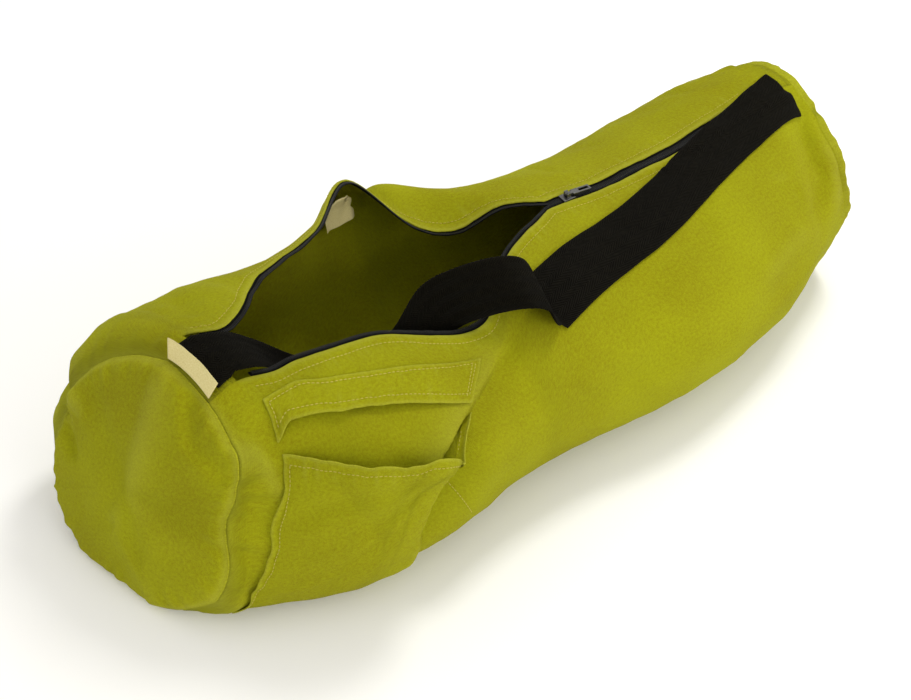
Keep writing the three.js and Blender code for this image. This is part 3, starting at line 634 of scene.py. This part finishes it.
def end_panel(name, at, side, node, bulge, puff, folds, seed):
    """A round panel. bulge: how far it stands out. puff: how far its rim swells sideways.
    """
    turns = np.linspace(0, 360, PANEL_COLUMNS, endpoint=False)
    rim = body_point(np.full(PANEL_COLUMNS, at), turns)
    centre = rim.mean(0)
    out = end_plane(at, side)
    turn, share = np.meshgrid(turns, np.linspace(1, 0.0005, PANEL_RINGS) ** 0.85)
    reach = np.linalg.norm(rim - centre, axis=1).mean()
    from_rim = (1 - share) * reach
    px, py = share * reach * np.sin(turn * RAD), share * reach * np.cos(turn * RAD)
    relief = 1.1 * wave(turn * ROUND_MM, seed, 30) * bump((from_rim - 9) / 10)
    relief += 1.0 * wave(0.6 * py - px, seed + 1, 120) * ramp(from_rim, 5, 40)
    for points, right, left, height in folds:
        line = [(s * reach * math.sin(t * RAD), s * reach * math.cos(t * RAD)) for t, s in points]
        off, _ = line_distance(px, py, line)
        relief += height * bump(off / np.where(off < 0, right, left))
    stand = 0.3 + bulge * (1 - share ** 2.4) + relief * ramp(from_rim, 0, 6) + 5.0 * (1 - bump(from_rim / 5))
    swell = puff * bump((from_rim - 7) / 8) * ramp(from_rim, 0, 4)
    spoke = (rim - centre)[None] * share[..., None] + unit(rim - centre)[None] * swell[..., None]
    outer = centre + spoke + out * (stand + CLOTH)[..., None]
    inner = centre + spoke * 0.995 + out * stand[..., None]
    outer[..., 2] = np.maximum(outer[..., 2], 0.2)
    inner[..., 2] = np.maximum(inner[..., 2], 0.1)
    points, faces, place = shell(outer, inner, np.ones((PANEL_RINGS - 1, PANEL_COLUMNS), bool))
    uv = np.stack([px, py], -1).reshape(-1, 2)[place] / 1000
    wear = (0.7 * bump((from_rim - 2) / 3) + 0.2 * np.maximum(relief, 0)).reshape(-1)[place]
    piece = new_piece(name, points, faces, "bag", canvas, uv, wear)
    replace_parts(piece, node)


end_panel("end_panel_near", 0.0, -1, "near_end_panel", 13, 1.5, NEAR_PANEL_FOLDS, 11.0)
end_panel("end_panel_far", 1.0, 1, "far_end_panel", 22, 7, FAR_PANEL_FOLDS, 17.0)

# The pocket's lines from left to right: across, at, turn, lift
POCKET_TOP = [(0, 0.04, 38, 0), (0.25, 0.108, 32, 0), (0.6, 0.224, 36, 0), (1, 0.355, 46, 0)]
UPPER_LIP = [(0, 0.033, 54, 0), (0.1, 0.058, 47.5, 2), (0.5, 0.18, 48.5, 4), (1, 0.306, 59, 0)]
LOWER_LIP = [
    (0, 0.034, 58.5, 0),
    (0.2, 0.085, 62.5, 10),
    (0.5, 0.165, 66.5, 20),
    (0.8, 0.25, 69, 14),
    (1, 0.304, 63, 0),
]
POCKET_MIDDLE = [(0, 0.024, 82, 0), (1, 0.222, 84, 0)]
POCKET_FOOT = [(0, 0.025, 126, 0), (1, 0.195, 126, 0)]


def cloth_patch(name, lines, rows, columns, node, edge_lift):
    """A patch lofted through lines of the pocket. Returns its outer points."""
    across, down = uneven(0, 1, columns, 0.4), uneven(0, 1, rows, 0.4)
    layers = []
    for column in (1, 2, 3):
        table = [smooth_curve([p[0] for p in line], [p[column] for p in line])(across) for _, line in lines]
        keys = [key for key, _ in lines]
        layers.append(np.stack([smooth_curve(keys, values)(down) for values in np.array(table).T], 1))
    at, turn, lift = layers[0], layers[1], np.maximum(layers[2], 0) + 0.5
    plain = above(at, turn, lift)
    run_down, run_across = spread(plain, 0), spread(plain, 1)
    relief, wear = edge_lift(run_down, run_down[-1:] - run_down, run_across, run_across[:, -1:] - run_across)
    outer = above(at, turn, lift + relief + CLOTH * 0.8)
    points, faces, place = shell(outer, above(at, turn, lift + relief), whole(outer))
    uv = np.stack([run_across, run_down], -1).reshape(-1, 2)[place] / 1000 + 0.37
    piece = new_piece(name, points, faces, "bag", canvas, uv, wear.reshape(-1)[place])
    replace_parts(piece, node)
    return outer


def band_edges(top, foot, left, right):
    sewn = 0.35 * (bump((top - 4.5) / 1.4) + bump((left - 3.6) / 1.3) + bump((right - 4) / 1.3))
    hem = 0.6 * bump((foot - 3) / 4.5) - 0.45 * bump((foot - 8) / 1.5)
    pucker = 0.3 * wave(left, 21.0, 17) * bump((foot - 9) / 8)
    pucker = pucker + 0.25 * wave(left, 22.0, 14) * bump((top - 5) / 7)
    sag = -1.2 * bump((left - 90) / 60) * bump((foot - 15) / 12)
    worn = 0.8 * bump(foot / 2) + 0.7 * bump(top / 2) + 0.6 * bump(left / 2) + 0.6 * bump(right / 2)
    return hem - sewn + pucker + sag, worn + np.maximum(pucker, 0)


def front_edges(top, foot, left, right):
    hem = 0.8 * bump((top - 3) / 5) - 0.5 * bump((top - 8.5) / 1.5) - 0.35 * bump((left - 4.5) / 1.6)
    loose = 2.4 * bump(left / 3) * ramp(top, 15, 40) * ramp(foot, 5, 30)
    pucker = 0.35 * wave(left, 23.0, 16) * bump((top - 9) / 9)
    pucker = pucker + 0.5 * wave(top, 24.0, 30) * bump((right - 8) / 12)
    soft = 0.9 * wave(top + 0.4 * left, 26.0, 75) * ramp(top, 10, 40) * ramp(left, 5, 30) * ramp(foot, 0, 20)
    worn = 0.9 * bump(top / 2) + 0.6 * bump(left / 2)
    return hem + loose + pucker + soft, worn + np.maximum(pucker, 0)


band = cloth_patch(
    "pocket_band_cloth", [(0, POCKET_TOP), (1, UPPER_LIP)], 44, 200, "pocket_band", band_edges
)
front = cloth_patch(
    "pocket_front_cloth", [(0, LOWER_LIP), (0.45, POCKET_MIDDLE), (1, POCKET_FOOT)], 110, 150,
    "pocket_front", front_edges
)

# Stitches
STITCH = 2.7
STITCH_GAP = 1.0
THREAD = 0.36
STITCH_RISE = np.array([-0.75, 0.5, 0.85, 0.5, -0.75])  # heights of a stitch's five rings, shares of THREAD
STITCH_FILL = np.array([0.6, 1, 1.1, 1, 0.6])  # and their radii
STITCH_PLACES = np.array([0, 0.18, 0.5, 0.82, 1])  # and their places along it, shares of STITCH


def stitches(path, normals):
    """Small threads laid along a path, each with both ends sunk into the cloth."""
    run = np.concatenate([[0], np.cumsum(np.linalg.norm(np.diff(path, axis=0), axis=1))])
    starts = np.arange(int(run[-1] / (STITCH + STITCH_GAP))) * (STITCH + STITCH_GAP)
    places = starts[:, None] + STITCH_PLACES * STITCH
    centres = np.stack([np.interp(places, run, path[:, c]) for c in range(3)], -1)
    ups = unit(np.stack([np.interp(places[:, 2], run, normals[:, c]) for c in range(3)], -1))
    sides = np.cross(ups, unit(centres[:, -1] - centres[:, 0]))
    centres = centres + ups[:, None] * (STITCH_RISE * THREAD)[None, :, None]
    return bars(centres, ups, sides, STITCH_FILL * THREAD)


def sew(name, rows):
    points, faces = np.zeros((0, 3)), []
    for path, normals in rows:
        more, added = stitches(path, normals)
        faces += [[corner + len(points) for corner in face] for face in added]
        points = np.concatenate([points, more])
    uv = np.stack([points[:, 0] + points[:, 1], points[:, 2]], -1) / 1000
    new_piece(name, points, faces, "bag", thread, uv)


def body_seam(at, turn):
    return above(at, turn, 0.1), outwards(at, turn)


def edge_seam(side, low, high, distance):
    at = np.linspace(low, high, 500)
    return body_seam(at, turn_by(at, edge_turn(at, side), side * distance))


def in_grid(grid, row, column):
    """Points between those of a grid."""
    i = np.clip(row.astype(int), 0, grid.shape[0] - 2)
    j = np.clip(column.astype(int), 0, grid.shape[1] - 2)
    down, across = (row - i)[:, None], (column - j)[:, None]
    upper = grid[i, j] * (1 - across) + grid[i, j + 1] * across
    lower = grid[i + 1, j] * (1 - across) + grid[i + 1, j + 1] * across
    return upper * (1 - down) + lower * down


def patch_seam(grid, across, down):
    """A straight seam on a patch. across, down: its two ends' distances from the left and top edges.

    A negative number is a distance from the right edge or the foot.
    """
    rows, columns = grid.shape[:2]
    run_down, run_across = spread(grid, 0), spread(grid, 1)[rows // 3]
    mark = np.linspace(0, 1, 200)
    width = run_across[-1]
    x = (1 - mark) * (across[0] % width) + mark * (across[1] % width)
    column = np.interp(x, run_across, np.arange(columns))
    row = []
    for share, j in zip(mark, np.round(column).astype(int)):
        depth = run_down[-1, j]
        y = (1 - share) * (down[0] % depth) + share * (down[1] % depth)
        row.append(np.interp(y, run_down[:, j], np.arange(rows)))
    normal = unit(np.cross(np.gradient(grid, axis=1), np.gradient(grid, axis=0)))
    normal = normal * np.sign((normal * [0, -1, 0.6]).sum(-1, keepdims=True))
    return in_grid(grid, np.array(row), column), in_grid(normal, np.array(row), column)


sew("stitches_hems", [edge_seam(1, 0.045, 0.93, HEM_SEAM), edge_seam(-1, 0.05, 0.93, HEM_SEAM)])
sew("stitches_pocket", [
    patch_seam(band, (3.6, -4), (4.5, 4.5)),
    patch_seam(band, (-4, -4), (5, -3)),
    patch_seam(band, (-7, -7), (6, -3)),
    patch_seam(band, (3.6, 3.6), (5, -3)),
    patch_seam(band, (6, -3), (-8, -8)),
    patch_seam(front, (4, -6), (8.5, 8.5)),
    patch_seam(front, (4.5, 4.5), (9, -4)),
    body_seam(np.linspace(0.24, 0.276, 60), np.linspace(79.5, 99, 60)),
])

# Zip
TAPE_START = 0.05  # nearer to the near end than in the solids
ZIP_END = 0.938
TAPE_GAP = 0.25  # between the canvas and the tape under it
TAPE_THICKNESS = 0.7


def tape(side, name, node):
    """The woven tape under a hem, out to where the coil is sewn on."""
    at = np.concatenate([np.linspace(TAPE_START, HALF_WAY, 260), np.linspace(HALF_WAY, ZIP_END, 110)[1:]])
    past = np.array([-8, -5, -2, 0, 1.5, 3, 4.4, ZIP_HALF - 0.7])
    place = np.repeat(at[:, None], len(past), 1)
    turn = turn_by(place, edge_turn(place, side), -side * past)
    outer = above(place, turn, -CLOTH - TAPE_GAP)
    inner = above(place, turn, -CLOTH - TAPE_GAP - TAPE_THICKNESS)
    points, faces, spot = shell(outer, inner, whole(outer))
    uv = np.stack([place * LENGTH, np.repeat(past[None], len(at), 0)], -1).reshape(-1, 2)[spot] / 1000
    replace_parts(new_piece(name, points, faces, "bag", zip_cloth, uv), node)


tape(1, "zip_tape_cloth_front", "zip_tape_front")
tape(-1, "zip_tape_cloth_back", "zip_tape_back")

COIL_PITCH = 1.55
COIL_WIRE = 0.52  # radius of the wire
COIL_FILL = np.array([0.7, 1, 1, 1.15, 0.8])  # radius of each of a loop's five rings, share of COIL_WIRE
COIL_PLACES = np.array([0, 0.12, 0.75, 0.93, 1])  # the rings' places from the loop's root to its tip
COIL_RISE = np.array([-0.5, 0.25, 0.35, 0.2, -0.35])  # and their heights
COIL_SEAT = 0.15  # height of a loop above the canvas's inner side


def coil(side, name):
    """The coil's loops, one small bent bar after another along the tape's edge."""
    fine = np.linspace(TAPE_START + 0.004, ZIP_END - 0.002, 4000)
    line = above(fine, turn_by(fine, edge_turn(fine, side), -side * (ZIP_HALF - 2.4)), -CLOTH)
    run = np.concatenate([[0], np.cumsum(np.linalg.norm(np.diff(line, axis=0), axis=1))])
    # The two rows of loops are half a pitch apart, so that they lock into each other
    offset = 0.5 if side < 0 else 0.0
    at = np.interp((np.arange(int(run[-1] / COIL_PITCH)) + offset) * COIL_PITCH, run, fine)
    edge = edge_turn(at, side)
    ups = outwards(at, edge)
    root = above(at, turn_by(at, edge, -side * (ZIP_HALF - 3.7)), COIL_SEAT - CLOTH)
    tip = above(at, turn_by(at, edge, -side * (ZIP_HALF + 0.25)), COIL_SEAT - CLOTH)
    centres = root[:, None] + (tip - root)[:, None] * COIL_PLACES[:, None]
    centres = centres + ups[:, None] * COIL_RISE[:, None]
    points, faces = bars(centres, ups, np.cross(ups, unit(tip - root)), COIL_FILL * COIL_WIRE)
    new_piece(name, points, faces, "bag", nylon, points[:, :2] / 1000)


coil(1, "zip_coil_front")
coil(-1, "zip_coil_back")

# Strap: at, turn of its middle where it lies on the bag
STRAP_NEAR = [(0.008, 12), (0.03, 11)]
STRAP_FAR = [(0.466, 44.5), (0.59, 33.5), (0.7, 26), (0.81, 19.5), (0.979, 15.5)]
# Its free run: x, y, z as shares of LENGTH, WIDTH and HEIGHT, then swing and tip of its width
STRAP_ARCH = [
    (-0.376, 0.066, 0.992, -12, 6),
    (-0.36, 0.06, 0.96, -12, 8),
    (-0.338, 0.045, 0.86, -10, 25),
    (-0.3, 0.01, 0.7, -10, 55),
    (-0.245, -0.035, 0.62, -20, 65),
    (-0.188, -0.06, 0.7, -35, 55),
    (-0.138, -0.046, 0.84, -25, 48),
    (-0.103, -0.116, 0.945, -12, 40),
    (-0.068, -0.188, 0.995, 0, 36),
    (-0.048, -0.213, 0.965, 3, 35),
    (-0.043, -0.238, 0.9, 8, 25),
]
STRAP_COLUMNS = 27
STRAP_GAP = 0.7  # between the strap and the bag under it
ARCH_ROWS = 14  # to each stretch between two points of the arch
TWIST_WEIGHT = 60  # how much the strap's twist counts in the spacing of the spline, millimetres


def lying(rows, count, across):
    """Points under a part of the strap that lies on the bag, and the way up from them."""
    turn_of = smooth_curve([row[0] for row in rows], [row[1] for row in rows])
    low, high = rows[0][0], rows[-1][0]
    at = np.linspace(low, high, count)
    turn = turn_of(at)
    ahead, behind = np.minimum(at + 0.004, high), np.maximum(at - 0.004, low)
    climb = (turn_of(ahead) - turn_of(behind)) * RAD * girth(at, turn)[2]
    heading = np.arctan2(climb, (ahead - behind) * LENGTH)[:, None]
    place = np.clip(at[:, None] + across * np.sin(heading) / LENGTH, low, high)
    around = turn_by(place, turn[:, None], -across * np.cos(heading))
    return above(place, around, STRAP_GAP), outwards(place, around)


def spline(points, count):
    """Points on a smooth curve through the given ones, count to a stretch."""
    ends = np.concatenate([[2 * points[0] - points[1]], points, [2 * points[-1] - points[-2]]])
    out = []
    for i in range(1, len(ends) - 2):
        p0, p1, p2, p3 = ends[i - 1:i + 3]
        knots = np.cumsum([0] + [np.linalg.norm(b - a) ** 0.5 for a, b in ((p0, p1), (p1, p2), (p2, p3))])
        t = np.linspace(knots[1], knots[2], count, endpoint=False)[:, None]

        def between(a, b, low, high):
            return ((high - t) * a + (t - low) * b) / (high - low)

        first = [between(p0, p1, *knots[0:2]), between(p1, p2, *knots[1:3]), between(p2, p3, *knots[2:4])]
        second = [between(*first[0:2], knots[0], knots[2]), between(*first[1:3], knots[1], knots[3])]
        out.append(between(*second, *knots[1:3]))
    return np.concatenate(out + [points[-1:]])


def strap():
    across = np.linspace(-0.5, 0.5, STRAP_COLUMNS) * STRAP_WIDTH
    middle = STRAP_COLUMNS // 2
    near, near_up = lying(STRAP_NEAR, 10, across)
    far, far_up = lying(STRAP_FAR, 190, across)
    centres = [near[-1, middle]]
    widths = [unit(near[-1, -1] - near[-1, 0])]
    for x, y, z, swing, tip in STRAP_ARCH:
        swing, tip = swing * RAD, tip * RAD
        centres.append(np.array([x * LENGTH, y * WIDTH, z * HEIGHT]))
        level = np.array([math.sin(swing), math.cos(swing), 0])
        widths.append(level * math.cos(tip) + np.array([0, 0, math.sin(tip)]))
    centres.append(far[0, middle])
    widths.append(unit(far[0, -1] - far[0, 0]))
    knots = np.concatenate([np.array(centres), np.array(widths) * TWIST_WEIGHT], 1)
    both = spline(knots, ARCH_ROWS)[1:-1]
    path, side = both[:, :3], unit(both[:, 3:])
    up = unit(np.cross(np.gradient(path, axis=0), side))
    arch = path[:, None] + side[:, None] * across[None, :, None]
    under = np.concatenate([near, arch, far])
    ups = np.concatenate([near_up, np.repeat(up[:, None], STRAP_COLUMNS, 1), far_up])
    for _ in range(4):
        blended = (ups[:-2] + 2 * ups[1:-1] + ups[2:]) / 4
        for joint in (len(near), len(near) + len(arch)):
            ups[joint - 5:joint + 5] = blended[joint - 6:joint + 4]
    ups = unit(ups)
    run = np.concatenate([[0], np.cumsum(np.linalg.norm(np.diff(under[:, middle], axis=0), axis=1))])
    selvedge = np.sqrt(np.maximum(0, 1 - np.abs(2 * across / STRAP_WIDTH) ** 14))
    half = STRAP_THICKNESS / 2
    thickness = half * (0.45 + 0.55 * selvedge) + 0.08 * np.cos(across * 2 * math.pi / WEBBING_RIB)
    mid = under + ups * half
    outer, inner = mid + ups * thickness[:, None], mid - ups * thickness[:, None]
    points, faces, place = shell(outer, inner, whole(outer))
    v, u = np.meshgrid(across, run)
    uv = np.stack([u, v], -1).reshape(-1, 2)[place] / 1000
    wear = np.repeat((0.5 * (np.abs(across) > 24))[None], len(run), 0).reshape(-1)[place]
    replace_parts(new_piece("strap_webbing", points, faces, "bag", webbing, uv, wear), "strap")


strap()


# Labels
TAB_TURN = 12.0  # the seam label's middle
TAB_LENGTH = 50.0  # along the seam
TAB_REACH = 13.5  # out of the seam
TAB_CLOTH = 0.28  # thickness of one layer
TAB_ROWS = 16  # of points in each of its two layers
CARE_AT = 0.37  # the care label's middle, share of LENGTH
CARE_WIDTH = 34.0
CARE_TOP = 4  # its ends, millimetres from the hem's edge
CARE_FOOT = 40
CARE_CLOTH = 0.35


def seam_label():
    """A folded strip of label cloth that stands out of the near end seam."""
    normal = -end_plane(0.0, -1)
    count = 40
    ends = [turn_by(0.0, TAB_TURN, side * TAB_LENGTH / 2) for side in (-1, 1)]
    turns = np.linspace(*ends, count)
    base = body_point(np.zeros(count), turns, detail=False)
    out = outwards(np.zeros(count), turns)
    out = unit(out - (out @ normal)[:, None] * normal)
    fold = np.linspace(0, math.pi, 9)[1:-1]
    way_out = np.linspace(-3, TAB_REACH, TAB_ROWS)
    reach = np.concatenate([way_out, TAB_REACH + 0.5 * np.sin(fold), way_out[::-1]])
    depth = np.concatenate([np.full(TAB_ROWS, 0.15), 0.5 - 0.35 * np.cos(fold), np.full(TAB_ROWS, 0.85)])
    curl = 0.6 * wave(np.linspace(0, TAB_LENGTH, count), 9.0, 45)[:, None] * ramp(reach, 0, 14)
    grid = base[:, None] + out[:, None] * reach[None, :, None] + normal * (curl - depth)[..., None]
    face = unit(np.cross(np.gradient(grid, axis=0), np.gradient(grid, axis=1)))
    half = face * TAB_CLOTH / 2
    points, faces, place = shell(grid + half, grid - half, whole(grid))
    v, u = np.meshgrid(np.linspace(0, 34, grid.shape[1]), np.linspace(0, TAB_LENGTH, count))
    uv = np.stack([u, v], -1).reshape(-1, 2)[place] / 1000
    piece = new_piece("seam_label_cloth", points, faces, "bag", label_cloth, uv)
    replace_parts(piece, "seam_label")


def care_label():
    """A thin label that hangs inside the back flap and curls at its foot."""
    half = CARE_WIDTH / 2 / LENGTH
    across = np.linspace(CARE_AT - half, CARE_AT + half, 36)
    at, down = np.meshgrid(across, np.linspace(CARE_TOP, CARE_FOOT, 40), indexing="ij")
    curl = 1.6 * ramp(down, 26, CARE_FOOT) * (1 + 0.5 * np.sin((at - CARE_AT) * 180))
    depth = 4.2 + 0.14 * down + curl + 0.5 * np.sin((at - 0.35) * 330 + down * 0.08)
    # The side towards the far end lies deeper under the flap
    depth = depth + 13 * ramp(at, 0.345, 0.39)
    turn = turn_by(at, edge_turn(at, -1), -down)
    outer = above(at, turn, -depth)
    points, faces, place = shell(outer, above(at, turn, -depth - CARE_CLOTH), whole(outer))
    uv = np.stack([at * LENGTH, down], -1).reshape(-1, 2)[place] / 1000
    piece = new_piece("care_label_cloth", points, faces, "bag", label_cloth, uv)
    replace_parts(piece, "care_label")


seam_label()
care_label()


FLAT_ANGLE = 2 * RAD  # below this, neighbouring faces are joined
SHARP_ANGLE = 40 * RAD  # above this, an edge is rounded


def softened(node, name, body, width):
    """A copy of a metal solid with rounded edges."""
    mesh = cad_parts[node].data.copy()
    piece = bpy.data.objects.new(name, mesh)
    bpy.context.scene.collection.objects.link(piece)
    shaped = bmesh.new()
    shaped.from_mesh(mesh)
    bmesh.ops.remove_doubles(shaped, verts=shaped.verts, dist=1e-6)
    bmesh.ops.dissolve_limit(shaped, angle_limit=FLAT_ANGLE, verts=shaped.verts, edges=shaped.edges)
    sharp = [e for e in shaped.edges if len(e.link_faces) == 2 and e.calc_face_angle(0) > SHARP_ANGLE]
    bmesh.ops.bevel(
        shaped, geom=sharp, offset=width / 1000, segments=3, profile=0.6, affect="EDGES", clamp_overlap=True
    )
    shaped.to_mesh(mesh)
    shaped.free()
    mesh.polygons.foreach_set("use_smooth", [True] * len(mesh.polygons))
    mesh.materials.clear()
    mesh.materials.append(metal)
    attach(piece, body)
    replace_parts(piece, node)


softened("zip_slider", "slider_body", "bag", 0.22)
softened("zip_pull", "slider_pull", "pull", 0.2)


# Floor and light
FLOOR_REACH = 6  # metres from the middle to each edge


def studio():
    material, _, _, shader = node_material("floor")
    shader.inputs["Base Color"].default_value = (0.95, 0.95, 0.95, 1)
    shader.inputs["Roughness"].default_value = 0.9
    mesh = bpy.data.meshes.new("floor")
    corners = [(x * FLOOR_REACH, y * FLOOR_REACH, 0) for x, y in ((-1, -1), (1, -1), (1, 1), (-1, 1))]
    mesh.from_pydata(corners, [], [(0, 1, 2, 3)])
    mesh.materials.append(material)
    floor = bpy.data.objects.new("floor", mesh)
    bpy.context.scene.collection.objects.link(floor)
    world = bpy.data.worlds.new("world")
    world.use_nodes = True
    world.node_tree.nodes["Background"].inputs["Color"].default_value = (1.0, 0.98, 0.94, 1)
    world.node_tree.nodes["Background"].inputs["Strength"].default_value = 0.86
    bpy.context.scene.world = world


def area_light(name, place, target, size, power, color):
    data = bpy.data.lights.new(name, "AREA")
    data.size = size
    data.energy = power
    data.color = color
    light = bpy.data.objects.new(name, data)
    light.location = place
    light.rotation_euler = (Vector(target) - Vector(place)).to_track_quat("-Z", "Y").to_euler()
    bpy.context.scene.collection.objects.link(light)


studio()
area_light("key", (1.1, 0.35, 1.9), (0.0, 0.0, 0.1), 0.5, 19, (1.0, 0.99, 0.95))
area_light("fill", (0.3, -2.0, 0.75), (0.0, 0.0, 0.08), 1.4, 17, (1.0, 0.98, 0.92))
